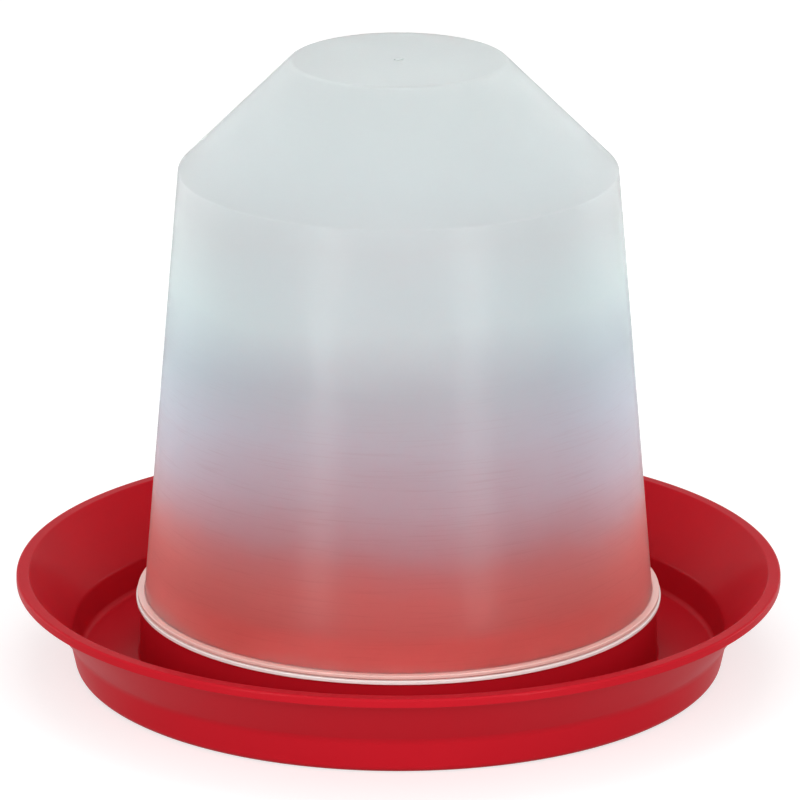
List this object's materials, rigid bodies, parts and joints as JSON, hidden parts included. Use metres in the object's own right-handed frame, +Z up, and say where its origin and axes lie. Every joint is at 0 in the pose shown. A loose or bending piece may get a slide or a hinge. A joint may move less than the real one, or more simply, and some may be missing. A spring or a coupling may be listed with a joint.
{
  "type": "poultry ground feeder",
  "caption": "Ground feeder for poultry: a frosted tapered drum with a sloping roof stands on the seat ring of a flared red feeding dish.",
  "frame": {"origin": "centre of the foot ring, on the ground", "axes": "+Z up along the axis of the drum and the dish, -Y towards the front of the picture"},
  "size_m": [0.3, 0.3, 0.2442],
  "materials": {
    "frosted_plastic": "unpigmented polypropylene, milky and see-through only close behind the wall, satin outside",
    "red_plastic": "moulded red polypropylene with a soft sheen"
  },
  "bodies": {
    "root": {"hopper_drum": "frosted_plastic", "feeding_dish": "red_plastic"}
  },
  "joints": []
}
